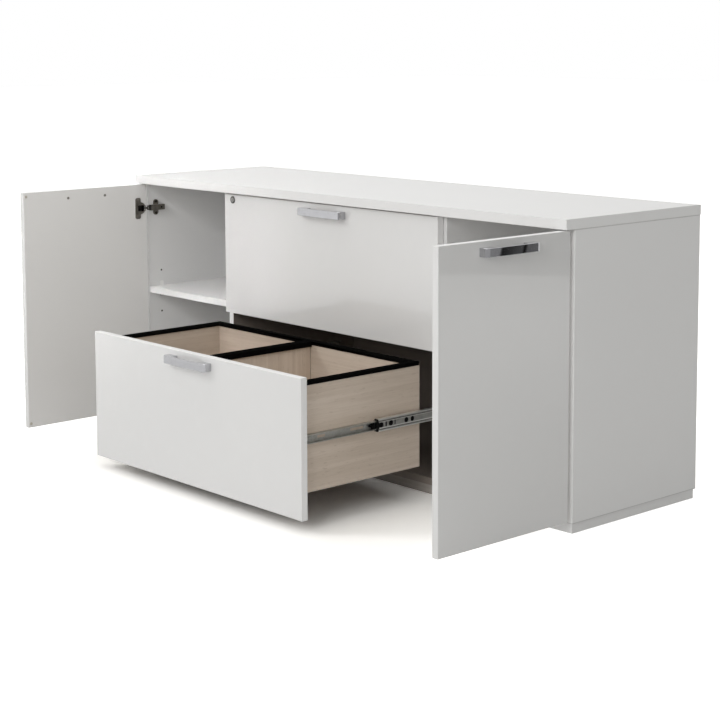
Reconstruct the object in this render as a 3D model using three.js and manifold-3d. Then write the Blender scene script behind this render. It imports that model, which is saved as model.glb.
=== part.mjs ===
// Lateral filing cabinet: a white carcass with a door compartment at each end and two wide file
// drawers between them. Millimetres, +Z up, front towards -Y, origin on the floor under the middle
// of the carcass. It stands with both doors open, the lower drawer pulled out and the upper one shut.
import * as THREE from "three";
import { mergeVertices } from "three/addons/utils/BufferGeometryUtils.js";
import Module from "manifold-3d";

// Cabinet
const CABINET_WIDTH = 1740; // across the top panel
const CABINET_HEIGHT = 750; // floor to the top face
const CARCASS_DEPTH = 472; // front edge to back edge of an end panel
const DRAWER_BAY_WIDTH = 856; // clear width between the dividers
const TOP_THICKNESS = 25;
const TOP_SIDE_OVERHANG = 2; // past each end panel
const TOP_FRONT_OVERHANG = 32; // past the carcass, so that it covers the fronts
const BASE_THICKNESS = 25;
const BASE_INSET = 4; // base board set back from the carcass all round
const BOARD = 19; // end panels, dividers, bottom panel and shelves
const BACK_THICKNESS = 8;
const BACK_RABBET = 10; // how far the back panel reaches into an end panel
const EDGE_EASE = 1; // chamfer along the board edges
const FIT = 0.2; // gap at every glued, screwed or dowelled joint

// Shelves, their clips and the rows of clip holes
const SHELF_UNDERSIDE = 387; // above the floor
const SHELF_SETBACK = 1; // behind the carcass front
const SHELF_PLAY = 1; // gap at the ends and the back
const CLIP_REACH = 10;
const CLIP_HEIGHT = 12;
const CLIP_WALL = 2.5;
const CLIP_WIDTH = 12;
const HOLE_DIAMETER = 5;
const HOLE_DEPTH = 11;
const HOLE_INSET = 45; // hole row behind the front edge, and in front of the back panel
const HOLE_MIDDLE = 389; // level of the hole that the clip is plugged into
const HOLE_PITCH = 64;

// Doors and drawer fronts
const FRONT_THICKNESS = 19;
const FRONT_GAP = 2; // between a shut front and the carcass
const FRONT_BOTTOM_RISE = 6; // lower edge above the base board
const FRONT_TOP_GAP = 3; // under the top panel
const FRONT_SPACING = 4; // between the two drawer fronts
const FRONT_SIDE_GAP = 3; // between a drawer front and a door
const DOOR_REVEAL = 1.5; // hinge edge inside the end panel's outer face
const DOOR_OPEN = 90; // degrees

// Hinges: the pivot lies inside the door board, and its depth keeps the turning edge off the carcass
const HINGE_INSET = 72.5; // hinge centre from each end of the door
const PIVOT_FROM_EDGE = 7; // pivot from the door's hinge edge
const SWING_CLEARANCE = 0.5; // between the turning door edge and the carcass
const CUP_DIAMETER = 35;
const CUP_DEPTH = 12.5;
const CUP_WALL = 1.2;
const CUP_EDGE_DISTANCE = 5; // cup bore from the hinge edge
const CUP_RIM = 0.8; // rim past the cup all round
const CUP_FLANGE = 1.2; // rim and wings above the door face
const CUP_PLAY = 0.3; // cup in its bore
const MOUTH_HEIGHT = 18;
const MOUTH_BACK = 8.5; // mouth past the cup's middle, away from the hinge edge
const MOUTH_FRONT = 13.5; // and towards the hinge edge
const WING_WIDTH = 19.5;
const WING_HEIGHT = 64;
const WING_CORNER = 6;
const ARM_LENGTH = 52.5;
const ARM_STANDOFF = 12; // off the end panel
const ARM_WIDTH = 17;
const ARM_HOLE = 5.5; // hole of the depth screw
const ARM_HOLE_DEPTH = 5;
const ARM_HOLE_FROM_END = 12;
const NECK_PRONG = 3.2; // height of each prong, above and below the link
const NECK_THICKNESS = 4;
const NECK_START = 132; // degrees round the pivot, 90 points into the cabinet
const NECK_END = 148;
const PLATE_THICKNESS = 2.5;
const PLATE_SETBACK = 26.5; // cross plate's screw line behind the carcass front
const PLATE_HEIGHT = 48;
const PLATE_WIDTH = 18;
const LINK_RUN = 0.6; // link clear of the cup rim and of the prongs
const LINK_THICKNESS = 5.5;
const LINK_DEPTH = 3.2;
const LINK_START = 122;
const LINK_END = 160;
const LINK_PIN_AT = 156;
const LINK_PIN_DIAMETER = 3;
const LINK_PIN_LENGTH = 16;
const LINK_TURN = 0.25; // share of the door's turn that a link makes

// Bow handles
const HANDLE_LENGTH = 176;
const HANDLE_HEIGHT = 20;
const HANDLE_REACH = 25;
const HANDLE_BAR = 7; // thickness of the front bar
const HANDLE_FOOT = 34; // length of each end foot
const HANDLE_CORNER = 9;
const HANDLE_EASE = 1.2;
const HANDLE_BELOW_EDGE = 14; // under the top edge of its front

// Drawer boxes
const BOX_LENGTH = 392;
const BOX_BELOW_EDGE = 22.5; // top of the box under the top edge of its front
const BOX_RISE = 57; // box underside above the front's lower edge
const BOX_BOARD = 13;
const BOX_BOTTOM = 6;
const GROOVE_RISE = 10; // bottom groove above the box underside
const GROOVE_DEPTH = 6;
const BOX_BACK_SETBACK = 6; // back board in front of the sides' rear ends
const RAIL_COVER = 2; // file rail above the wood
const RAIL_SKIRT = 9.5; // file rail below the top of the wood
const RAIL_WALL = 2.2;
const RAIL_PLAY = 0.3;
const RAIL_EASE = 0.8;
const RAIL_FRONT_GAP = 6; // rails end behind the drawer front
const CENTRE_RAIL_WIDTH = 27;
const CENTRE_GROOVE_WIDTH = 3;
const CENTRE_GROOVE_DEPTH = 1.5;

// Drawer runners: three nested steel channels that run on ball cages
const RUNNER_THICKNESS = 19; // room between divider and drawer box
const RUNNER_RISE = 189; // runner centre above the front's lower edge
const RUNNER_LENGTH = 400;
const RUNNER_SETBACK = 4; // cabinet member behind the carcass front
const DRAWER_TRAVEL = 448;
const STEEL = 1.5;
const CABINET_MEMBER_HEIGHT = 45;
const CABINET_MEMBER_FLANGE = 11;
const MIDDLE_MEMBER_HEIGHT = 31;
const MIDDLE_MEMBER_FLANGE = 11.5;
const MIDDLE_BEAD = 7.2; // height of the raised bead along each edge
const MIDDLE_RECESS = 1.3; // web behind the beads
const MIDDLE_LENGTH = 380;
const MIDDLE_SETBACK = 11.5; // behind the carcass front with the drawer shut
const DRAWER_MEMBER_HEIGHT = 21.5;
const DRAWER_MEMBER_FLANGE = 13;
const DRAWER_MEMBER_GAP = 3; // behind the drawer front
const RUN = 0.4; // running gap at the ball cages
const WEB_GAP = 0.8; // between the webs of the cabinet and middle members
const CAGE_LENGTH = 110;
const CAGE_SETBACK = 20;
const CAGE_WIDTH = 5;
const CAGE_ROOT = 0.5; // cage sunk into the flange that carries it
// Slots: start and length, from the front end
const MIDDLE_SLOTS = [[2.5, 15], [24, 5.5], [35.5, 15], [55, 3.5], [88.5, 13.5], [110, 12]];
const MIDDLE_SLOT_HEIGHT = 13;
const DRAWER_SLOTS = [[49, 26], [154, 44]];
const DRAWER_SLOT_HEIGHT = 7;
const CABINET_SLOTS = [[33, 14], [225, 14]];
const CABINET_SLOT_HEIGHT = 6;
const LEVER_BLOCK = 9;
const LEVER_TAB = 9.5;
const LEVER_TAB_HEIGHT = 5;
const LEVER_HEIGHT = 17.5;
const LEVER_THICKNESS = 8;
const LEVER_STANDOFF = 2; // in front of the middle member with the drawer out

// Lock in the upper drawer front
const LOCK_FROM_SIDE = 38;
const LOCK_FROM_TOP = 16;
const LOCK_ROSETTE = 21;
const LOCK_ROSETTE_THICKNESS = 2;
const LOCK_BARREL = 18;
const LOCK_PLUG = 12;
const LOCK_PLAY = 0.3;
const KEYWAY_WIDTH = 2;
const KEYWAY_HEIGHT = 7;
const KEYWAY_DEPTH = 5;
const CAM_LENGTH = 16;
const CAM_WIDTH = 8;
const CAM_THICKNESS = 2;
const CAM_GAP = 0.6; // behind the drawer front

// Facets of round forms
const ROUND = 24;
const SMALL_ROUND = 10;

// Places that follow from the sizes above
const panelOuter = CABINET_WIDTH / 2 - TOP_SIDE_OVERHANG;
const panelInner = panelOuter - BOARD;
const dividerInner = DRAWER_BAY_WIDTH / 2;
const dividerOuter = dividerInner + BOARD;
const dividerMiddle = dividerInner + BOARD / 2;
const frontEdge = -CARCASS_DEPTH / 2;
const backEdge = CARCASS_DEPTH / 2;
const backFace = backEdge - BACK_THICKNESS;
const topUnderside = CABINET_HEIGHT - TOP_THICKNESS;
const panelBottom = BASE_THICKNESS + FIT;
const panelTop = topUnderside - FIT;
const floorTop = panelBottom + BOARD;
const frontBottom = BASE_THICKNESS + FRONT_BOTTOM_RISE;
const frontTop = topUnderside - FRONT_TOP_GAP;
const doorHeight = frontTop - frontBottom;
const drawerFrontHeight = (doorHeight - FRONT_SPACING) / 2;
const drawerPitch = drawerFrontHeight + FRONT_SPACING;
const drawerFrontHalf = dividerMiddle - FRONT_SIDE_GAP / 2;
const frontRear = frontEdge - FRONT_GAP;
const boxHalf = dividerInner - RUNNER_THICKNESS;
const boxTop = drawerFrontHeight - BOX_BELOW_EDGE;
const boxHeight = boxTop - BOX_RISE;
const boxBackRear = BOX_LENGTH - BOX_BACK_SETBACK;
const boxBackFace = boxBackRear - BOX_BOARD;
const doorWidth = panelOuter - DOOR_REVEAL - dividerMiddle - FRONT_SIDE_GAP / 2;
const swing = FRONT_GAP - SWING_CLEARANCE;
const pivotDepth = (PIVOT_FROM_EDGE ** 2 / swing + FRONT_GAP + SWING_CLEARANCE) / 2;
const pivotX = panelOuter - DOOR_REVEAL - PIVOT_FROM_EDGE;
const pivotY = frontEdge - pivotDepth;
const doorInnerFace = pivotDepth - FRONT_GAP; // from the pivot, door shut
const cupRadius = CUP_DIAMETER / 2;
const cupX = PIVOT_FROM_EDGE - CUP_EDGE_DISTANCE - cupRadius; // from the pivot, door shut
const rimReach = Math.hypot(cupX + cupRadius + CUP_RIM, doorInnerFace + CUP_FLANGE);
const linkRadius = rimReach + LINK_RUN;

const WHITE_SATIN = new THREE.MeshStandardMaterial({ color: 0xe8e7e3, roughness: 0.45 });
const WHITE_GLOSS = new THREE.MeshStandardMaterial({ color: 0xf0efec, roughness: 0.12 });
const BIRCH = new THREE.MeshStandardMaterial({ color: 0xb3a08c, roughness: 0.6 });
const BLACK_RAIL = new THREE.MeshStandardMaterial({ color: 0x0c0c0c, roughness: 0.4 });
const ZINC = new THREE.MeshStandardMaterial({ color: 0x8f8f88, roughness: 0.35, metalness: 1 });
const NICKEL = new THREE.MeshStandardMaterial({ color: 0x6a655e, roughness: 0.35, metalness: 1 });
const SATIN_METAL = new THREE.MeshStandardMaterial({ color: 0xc4c4ca, roughness: 0.3, metalness: 1 });

const wasm = await Module();
wasm.setup();

function toSolid(geometry) {
  const bare = geometry.clone();
  bare.deleteAttribute("normal");
  bare.deleteAttribute("uv");
  const merged = mergeVertices(bare, 1e-3);
  const vertProperties = merged.attributes.position.array;
  const triVerts = new Uint32Array(merged.index.array);
  return new wasm.Manifold(new wasm.Mesh({ numProp: 3, vertProperties, triVerts }));
}

function toGeometry(solid) {
  const mesh = solid.getMesh();
  const geometry = new THREE.BufferGeometry();
  geometry.setAttribute("position", new THREE.BufferAttribute(mesh.vertProperties, 3));
  geometry.setIndex(new THREE.BufferAttribute(mesh.triVerts, 1));
  const faceted = geometry.toNonIndexed();
  faceted.computeVertexNormals();
  return faceted;
}

function join(first, ...others) {
  return toGeometry(others.reduce((sum, other) => sum.add(toSolid(other)), toSolid(first)));
}

function cut(first, ...tools) {
  return toGeometry(tools.reduce((rest, tool) => rest.subtract(toSolid(tool)), toSolid(first)));
}

function polygon(points) {
  return new THREE.Shape(points.map(([x, y]) => new THREE.Vector2(x, y)));
}

// A rectangle with round corners, centred on the origin.
function roundedRectangle(width, height, radius) {
  const x = width / 2 - radius;
  const y = height / 2 - radius;
  const shape = new THREE.Shape();
  shape.absarc(x, y, radius, 0, Math.PI / 2);
  shape.absarc(-x, y, radius, Math.PI / 2, Math.PI);
  shape.absarc(-x, -y, radius, Math.PI, Math.PI * 1.5);
  shape.absarc(x, -y, radius, Math.PI * 1.5, Math.PI * 2);
  return shape;
}

// A shape in plan, pulled up Z and centred on Z, with its upper and lower edges eased.
function upright(shape, height, ease = 0, curveSegments = 5) {
  const geometry = new THREE.ExtrudeGeometry(shape, {
    depth: height - 2 * ease,
    bevelEnabled: ease > 0,
    bevelThickness: ease,
    bevelSize: ease,
    bevelOffset: -ease,
    bevelSegments: 2,
    curveSegments,
  });
  return geometry.translate(0, 0, ease - height / 2);
}

// A cross-section drawn as X and Z, pulled along Y from the origin towards the back.
function alongY(shape, length) {
  const geometry = new THREE.ExtrudeGeometry(shape, { depth: length, bevelEnabled: false });
  return geometry.rotateX(Math.PI / 2).translate(0, length, 0);
}

// An outline drawn as Y and Z, pulled along X and centred on it.
function alongX(shape, length, ease = 0, curveSegments = 5) {
  return upright(shape, length, ease, curveSegments).rotateX(Math.PI / 2).rotateZ(Math.PI / 2);
}

// A flat board with its edges eased, centred on the origin.
function board(width, depth, height) {
  const thinnest = Math.min(width, depth, height);
  if (thinnest === height) {
    return upright(rectangle(width, depth), height, EDGE_EASE);
  }
  if (thinnest === depth) {
    return upright(rectangle(width, height), depth, EDGE_EASE).rotateX(Math.PI / 2);
  }
  return alongX(rectangle(depth, height), width, EDGE_EASE);
}

function rectangle(width, height) {
  const x = width / 2;
  const y = height / 2;
  return polygon([[-x, -y], [x, -y], [x, y], [-x, y]]);
}

// A round bar along X or Z, centred on the origin.
function barX(diameter, length, segments) {
  return new THREE.CylinderGeometry(diameter / 2, diameter / 2, length, segments).rotateZ(Math.PI / 2);
}

function barZ(diameter, length, segments) {
  return new THREE.CylinderGeometry(diameter / 2, diameter / 2, length, segments).rotateX(Math.PI / 2);
}

// A profile of radius and height points, turned about the Y axis.
function turned(points, segments = ROUND) {
  return new THREE.LatheGeometry(points.map(([r, y]) => new THREE.Vector2(r, y)), segments);
}

const cabinet = new THREE.Group();

function addPiece(group, name, geometry, material, x = 0, y = 0, z = 0) {
  const piece = new THREE.Mesh(geometry, material);
  piece.name = name;
  piece.position.set(x, y, z);
  group.add(piece);
}

// Boards that run the whole width
function addTopPanel() {
  const depth = CARCASS_DEPTH + TOP_FRONT_OVERHANG;
  const panel = board(CABINET_WIDTH, depth, TOP_THICKNESS);
  addPiece(cabinet, "top_panel", panel, WHITE_SATIN,
    0, backEdge - depth / 2, CABINET_HEIGHT - TOP_THICKNESS / 2);
}

function addBaseBoard() {
  const panel = board(2 * (panelOuter - BASE_INSET), CARCASS_DEPTH - 2 * BASE_INSET, BASE_THICKNESS);
  addPiece(cabinet, "base_board", panel, WHITE_SATIN, 0, 0, BASE_THICKNESS / 2);
}

function addBottomPanel() {
  const depth = backFace - FIT - frontEdge;
  const panel = board(2 * (panelInner - FIT), depth, BOARD);
  addPiece(cabinet, "bottom_panel", panel, WHITE_SATIN,
    0, frontEdge + depth / 2, panelBottom + BOARD / 2);
}

function addBackPanel() {
  const width = 2 * (panelInner + BACK_RABBET - FIT);
  const panel = board(width, BACK_THICKNESS, panelTop - panelBottom);
  addPiece(cabinet, "back_panel", panel, WHITE_SATIN,
    0, backFace + BACK_THICKNESS / 2, (panelBottom + panelTop) / 2);
}

// Two rows of blind holes on a panel face at x, bored towards the given side.
function clipHoles(x, towards) {
  const holes = [];
  for (const y of [frontEdge + HOLE_INSET, backFace - HOLE_INSET]) {
    for (const step of [-1, 1]) {
      const hole = barX(HOLE_DIAMETER, 2 * HOLE_DEPTH, SMALL_ROUND);
      hole.translate(x, y, HOLE_MIDDLE + step * HOLE_PITCH);
      holes.push(hole);
    }
  }
  return holes.map((hole) => hole.translate(towards * EDGE_EASE, 0, 0));
}

// The ledges that carry the shelf, plugged into a panel face at x and reaching to the given side.
function shelfClips(x, towards) {
  const root = -towards * EDGE_EASE;
  const clips = [];
  for (const y of [frontEdge + HOLE_INSET, backFace - HOLE_INSET]) {
    const outline = polygon([
      [root, 0],
      [root, -CLIP_HEIGHT],
      [towards * CLIP_WALL, -CLIP_HEIGHT],
      [towards * CLIP_REACH, -CLIP_WALL],
      [towards * CLIP_REACH, 0],
    ]);
    const clip = alongY(outline, CLIP_WIDTH);
    clips.push(clip.translate(x, y - CLIP_WIDTH / 2, SHELF_UNDERSIDE - FIT));
  }
  return clips;
}

// An end panel: its plan outline has eased front corners and a rabbet for the back panel.
function addEndPanel(half, word) {
  const outline = polygon([
    [panelInner, frontEdge + EDGE_EASE],
    [panelInner + EDGE_EASE, frontEdge],
    [panelOuter - EDGE_EASE, frontEdge],
    [panelOuter, frontEdge + EDGE_EASE],
    [panelOuter, backEdge],
    [panelInner + BACK_RABBET, backEdge],
    [panelInner + BACK_RABBET, backFace - FIT],
    [panelInner, backFace - FIT],
  ]);
  const middle = (panelBottom + panelTop) / 2;
  const blank = upright(outline, panelTop - panelBottom).translate(0, 0, middle);
  const panel = join(cut(blank, ...clipHoles(panelInner, -1)), ...shelfClips(panelInner, -1));
  addPiece(half, word + "_end_panel", panel, WHITE_SATIN);
}

function addDivider(half, word) {
  const bottom = floorTop + FIT;
  const depth = backFace - FIT - frontEdge;
  const blank = board(BOARD, depth, panelTop - bottom);
  blank.translate(dividerMiddle, frontEdge + depth / 2, (bottom + panelTop) / 2);
  const panel = join(cut(blank, ...clipHoles(dividerOuter, 1)), ...shelfClips(dividerOuter, 1));
  addPiece(half, word + "_divider", panel, WHITE_SATIN);
}

function addShelf(half, word) {
  const width = panelInner - dividerOuter - 2 * SHELF_PLAY;
  const depth = backFace - SHELF_PLAY - frontEdge - SHELF_SETBACK;
  addPiece(half, word + "_shelf", board(width, depth, BOARD), WHITE_SATIN,
    (dividerOuter + panelInner) / 2, frontEdge + SHELF_SETBACK + depth / 2, SHELF_UNDERSIDE + BOARD / 2);
}

// Hinges, drawn round the door's pivot with the door shut
const panelFace = panelInner - pivotX; // end panel's inner face from the pivot
const hingeLevels = [["upper", frontTop - HINGE_INSET], ["lower", frontBottom + HINGE_INSET]];
const degrees = THREE.MathUtils.degToRad;

function roundPivot(radius, angle) {
  return [radius * Math.cos(degrees(angle)), radius * Math.sin(degrees(angle))];
}

// The arm lies on a cross plate, and the two prongs of its neck curl round the pivot into the cup.
function hingeArm() {
  const front = pivotDepth + LINK_RUN;
  const back = front + ARM_LENGTH;
  const low = panelFace - FIT - PLATE_THICKNESS / 2;
  const high = panelFace - ARM_STANDOFF;
  const body = upright(polygon([[low, front], [low, back], [high, back], [high, front]]), ARM_WIDTH, EDGE_EASE);
  const neckOutline = polygon([
    [low, front + EDGE_EASE * 2],
    [high + EDGE_EASE, front + EDGE_EASE * 2],
    roundPivot(linkRadius + NECK_THICKNESS, NECK_END),
    roundPivot(linkRadius, NECK_END),
    roundPivot(linkRadius, (NECK_START + NECK_END) / 2),
    roundPivot(linkRadius, NECK_START),
  ]);
  const lift = LINK_THICKNESS / 2 + LINK_RUN + NECK_PRONG / 2;
  const prongs = [-lift, lift].map((z) => upright(neckOutline, NECK_PRONG).translate(0, 0, z));
  const plate = alongX(roundedRectangle(PLATE_WIDTH, PLATE_HEIGHT, PLATE_WIDTH / 2), PLATE_THICKNESS, 0, 4);
  plate.translate(panelFace - FIT - PLATE_THICKNESS / 2, pivotDepth + PLATE_SETBACK, 0);
  const hole = barX(ARM_HOLE, 2 * ARM_HOLE_DEPTH, SMALL_ROUND).translate(high, back - ARM_HOLE_FROM_END, 0);
  return cut(join(body, plate, ...prongs), hole);
}

// A curved plate on a pin: it turns with the door, but less far, and bridges the arm and the cup.
function hingeLink() {
  const start = degrees(LINK_START);
  const end = degrees(LINK_END);
  const outline = new THREE.Shape();
  outline.absarc(0, 0, linkRadius + LINK_DEPTH, start, end, false);
  outline.absarc(0, 0, linkRadius, end, start, true);
  const [pinX, pinY] = roundPivot(linkRadius + LINK_DEPTH / 2, LINK_PIN_AT);
  const pin = barZ(LINK_PIN_DIAMETER, LINK_PIN_LENGTH, SMALL_ROUND).translate(pinX, pinY, 0);
  return join(pin, upright(outline, LINK_THICKNESS));
}

// The cast cup with its rim and two screw wings, seated in the bore of the door; its mouth takes the neck.
function hingeCup() {
  const rim = cupRadius + CUP_RIM;
  const cup = turned([[0, -CUP_DEPTH], [cupRadius, -CUP_DEPTH], [cupRadius, FIT], [rim, FIT],
    [rim, CUP_FLANGE], [0, CUP_FLANGE]]);
  const wings = upright(roundedRectangle(WING_WIDTH, WING_HEIGHT, WING_CORNER), CUP_FLANGE - FIT, 0, 3);
  wings.rotateX(Math.PI / 2);
  wings.translate(WING_WIDTH / 2 - rim, (CUP_FLANGE + FIT) / 2, 0);
  const mouth = new THREE.BoxGeometry(MOUTH_BACK + MOUTH_FRONT, 2 * (CUP_DEPTH - CUP_WALL), MOUTH_HEIGHT);
  return cut(join(cup, wings), mouth.translate((MOUTH_FRONT - MOUTH_BACK) / 2, 0, 0));
}

function addHinges(half, door, links, word) {
  for (const [level, z] of hingeLevels) {
    addPiece(half, `${word}_${level}_hinge_arm`, hingeArm(), NICKEL, pivotX, pivotY, z);
    addPiece(links, `${word}_${level}_hinge_link`, hingeLink(), NICKEL, 0, 0, z);
    addPiece(door, `${word}_${level}_hinge_cup`, hingeCup(), NICKEL, cupX, doorInnerFace, z);
  }
}

function doorBoard() {
  const middle = PIVOT_FROM_EDGE - doorWidth / 2;
  const blank = board(doorWidth, FRONT_THICKNESS, doorHeight);
  blank.translate(middle, doorInnerFace - FRONT_THICKNESS / 2, (frontBottom + frontTop) / 2);
  const radius = cupRadius + CUP_PLAY;
  const bores = hingeLevels.map(([, z]) => {
    const bore = new THREE.CylinderGeometry(radius, radius, 2 * (CUP_DEPTH + CUP_PLAY), ROUND);
    return bore.translate(cupX, doorInnerFace, z);
  });
  return cut(blank, ...bores);
}

// A bow handle in plan: two feet, a front bar with round outer corners, and the finger gap behind it.
function bowHandle() {
  const half = HANDLE_LENGTH / 2;
  const gap = half - HANDLE_FOOT;
  const gapDepth = HANDLE_REACH - HANDLE_BAR;
  const outline = new THREE.Shape();
  outline.moveTo(half, -FIT);
  outline.lineTo(gap, -FIT);
  outline.lineTo(gap, HANDLE_CORNER - gapDepth);
  outline.absarc(gap - HANDLE_CORNER, HANDLE_CORNER - gapDepth, HANDLE_CORNER, 0, -Math.PI / 2, true);
  outline.absarc(HANDLE_CORNER - gap, HANDLE_CORNER - gapDepth, HANDLE_CORNER, -Math.PI / 2, -Math.PI, true);
  outline.lineTo(-gap, -FIT);
  outline.lineTo(-half, -FIT);
  outline.absarc(HANDLE_CORNER - half, HANDLE_CORNER - HANDLE_REACH, HANDLE_CORNER, Math.PI, Math.PI * 1.5);
  outline.absarc(half - HANDLE_CORNER, HANDLE_CORNER - HANDLE_REACH, HANDLE_CORNER, Math.PI * 1.5, Math.PI * 2);
  return upright(outline, HANDLE_HEIGHT, HANDLE_EASE, 4);
}

function addHandle(group, name, x, y, frontTopEdge) {
  const z = frontTopEdge - HANDLE_BELOW_EDGE - HANDLE_HEIGHT / 2;
  addPiece(group, name, bowHandle(), SATIN_METAL, x, y, z);
}

function addDoor(half, word) {
  const door = new THREE.Group();
  door.position.set(pivotX, pivotY, 0);
  door.rotation.z = degrees(DOOR_OPEN);
  const links = new THREE.Group();
  links.position.copy(door.position);
  links.rotation.z = degrees(DOOR_OPEN * LINK_TURN);
  half.add(door, links);
  addPiece(door, word + "_door", doorBoard(), WHITE_GLOSS);
  addHandle(door, word + "_door_handle",
    PIVOT_FROM_EDGE - doorWidth / 2, doorInnerFace - FRONT_THICKNESS, frontTop);
  addHinges(half, door, links, word);
}

// Runner members: each section is drawn with X measured back from the divider and Z from its centre
function channel(webX, flangeX, height) {
  const outer = height / 2;
  const inner = outer - STEEL;
  const towards = Math.sign(flangeX - webX);
  const face = webX + towards * STEEL;
  return polygon([[webX, -outer], [flangeX, -outer], [flangeX, -inner], [face, -inner],
    [face, inner], [flangeX, inner], [flangeX, outer], [webX, outer]].map(([x, z]) => [-x, z]));
}

// Two strips that hold the balls, under the flanges of the channel that carries them.
function ballCages(x, height, runsOn) {
  const top = height / 2 - STEEL + CAGE_ROOT;
  const low = runsOn / 2 + RUN;
  return [-1, 1].map((way) => {
    const strip = alongY(rectangle(CAGE_WIDTH, top - low), CAGE_LENGTH);
    return strip.translate(-x, CAGE_SETBACK, way * (top + low) / 2);
  });
}

function slotCuts(slots, height) {
  return slots.map(([start, length]) => {
    const slot = alongX(roundedRectangle(length, height, Math.min(length, height) * 0.45),
      2 * RUNNER_THICKNESS, 0, 3);
    return slot.translate(-RUNNER_THICKNESS / 2, start + length / 2, 0);
  });
}

const middleWeb = FIT + STEEL + WEB_GAP;
const drawerWeb = RUNNER_THICKNESS - FIT;

function cabinetMember() {
  const section = channel(FIT, FIT + CABINET_MEMBER_FLANGE, CABINET_MEMBER_HEIGHT);
  const cageX = FIT + CABINET_MEMBER_FLANGE - CAGE_WIDTH;
  const bar = join(alongY(section, RUNNER_LENGTH),
    ...ballCages(cageX, CABINET_MEMBER_HEIGHT, MIDDLE_MEMBER_HEIGHT));
  return cut(bar, ...slotCuts(CABINET_SLOTS, CABINET_SLOT_HEIGHT));
}

// The middle member's web lies behind a bead along its upper and lower edge.
function beadedChannel() {
  const outer = MIDDLE_MEMBER_HEIGHT / 2;
  const inner = outer - STEEL;
  const bead = outer - MIDDLE_BEAD;
  const web = middleWeb + MIDDLE_RECESS;
  const face = web + STEEL;
  const flange = middleWeb + MIDDLE_MEMBER_FLANGE;
  return polygon([[middleWeb, -outer], [flange, -outer], [flange, -inner], [face, -inner],
    [face, inner], [flange, inner], [flange, outer], [middleWeb, outer], [middleWeb, bead],
    [web, bead - MIDDLE_RECESS], [web, MIDDLE_RECESS - bead], [middleWeb, -bead]].map(([x, z]) => [-x, z]));
}

function middleMember() {
  const cageX = middleWeb + MIDDLE_MEMBER_FLANGE - CAGE_WIDTH;
  const bar = join(alongY(beadedChannel(), MIDDLE_LENGTH),
    ...ballCages(cageX, MIDDLE_MEMBER_HEIGHT, DRAWER_MEMBER_HEIGHT));
  return cut(bar, ...slotCuts(MIDDLE_SLOTS, MIDDLE_SLOT_HEIGHT));
}

function drawerMember() {
  const section = channel(drawerWeb, drawerWeb - DRAWER_MEMBER_FLANGE, DRAWER_MEMBER_HEIGHT);
  const length = BOX_LENGTH - DRAWER_MEMBER_GAP;
  return cut(alongY(section, length), ...slotCuts(DRAWER_SLOTS, DRAWER_SLOT_HEIGHT));
}

// The release lever: a block with a finger tab, lying in the drawer member's channel.
function releaseLever() {
  const half = LEVER_HEIGHT / 2;
  const tab = LEVER_TAB_HEIGHT / 2;
  const outline = polygon([[-LEVER_BLOCK - LEVER_TAB, -tab], [-LEVER_BLOCK - tab, -tab], [-LEVER_BLOCK, -half],
    [0, -half], [0, half], [-LEVER_BLOCK, half], [-LEVER_BLOCK - tab, tab], [-LEVER_BLOCK - LEVER_TAB, tab]]);
  return alongX(outline, LEVER_THICKNESS, 0);
}

// A drawer, drawn from the middle of its front's rear face at the front's lower edge
function lockCentre() {
  return [LOCK_FROM_SIDE - drawerFrontHalf, drawerFrontHeight - LOCK_FROM_TOP];
}

function drawerFront(withLock) {
  const blank = board(2 * drawerFrontHalf, FRONT_THICKNESS, drawerFrontHeight);
  blank.translate(0, -FRONT_THICKNESS / 2, drawerFrontHeight / 2);
  if (!withLock) {
    return blank;
  }
  const [x, z] = lockCentre();
  const radius = LOCK_BARREL / 2 + LOCK_PLAY;
  const bore = new THREE.CylinderGeometry(radius, radius, 3 * FRONT_THICKNESS, ROUND);
  return cut(blank, bore.translate(x, 0, z));
}

// A box side, its section grooved for the bottom.
function boxSide() {
  const inner = boxHalf - BOX_BOARD;
  const section = polygon([[inner, 0], [boxHalf, 0], [boxHalf, boxHeight], [inner, boxHeight],
    [inner, GROOVE_RISE + BOX_BOTTOM + 2 * FIT], [inner + GROOVE_DEPTH, GROOVE_RISE + BOX_BOTTOM + 2 * FIT],
    [inner + GROOVE_DEPTH, GROOVE_RISE], [inner, GROOVE_RISE]]);
  return alongY(section, BOX_LENGTH - FIT).translate(0, FIT, BOX_RISE);
}

// A file rail's section: eased top corners, and a groove along the middle if it is the centre rail.
function railSection(width, groove) {
  const half = width / 2;
  const top = RAIL_COVER;
  const slot = CENTRE_GROOVE_WIDTH / 2;
  const dip = top - CENTRE_GROOVE_DEPTH;
  const left = [[-half, -RAIL_SKIRT], [half, -RAIL_SKIRT], [half, top - RAIL_EASE], [half - RAIL_EASE, top]];
  const middle = groove ? [[slot, top], [slot, dip], [-slot, dip], [-slot, top]] : [];
  return polygon([...left, ...middle, [RAIL_EASE - half, top], [-half, top - RAIL_EASE]]);
}

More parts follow.
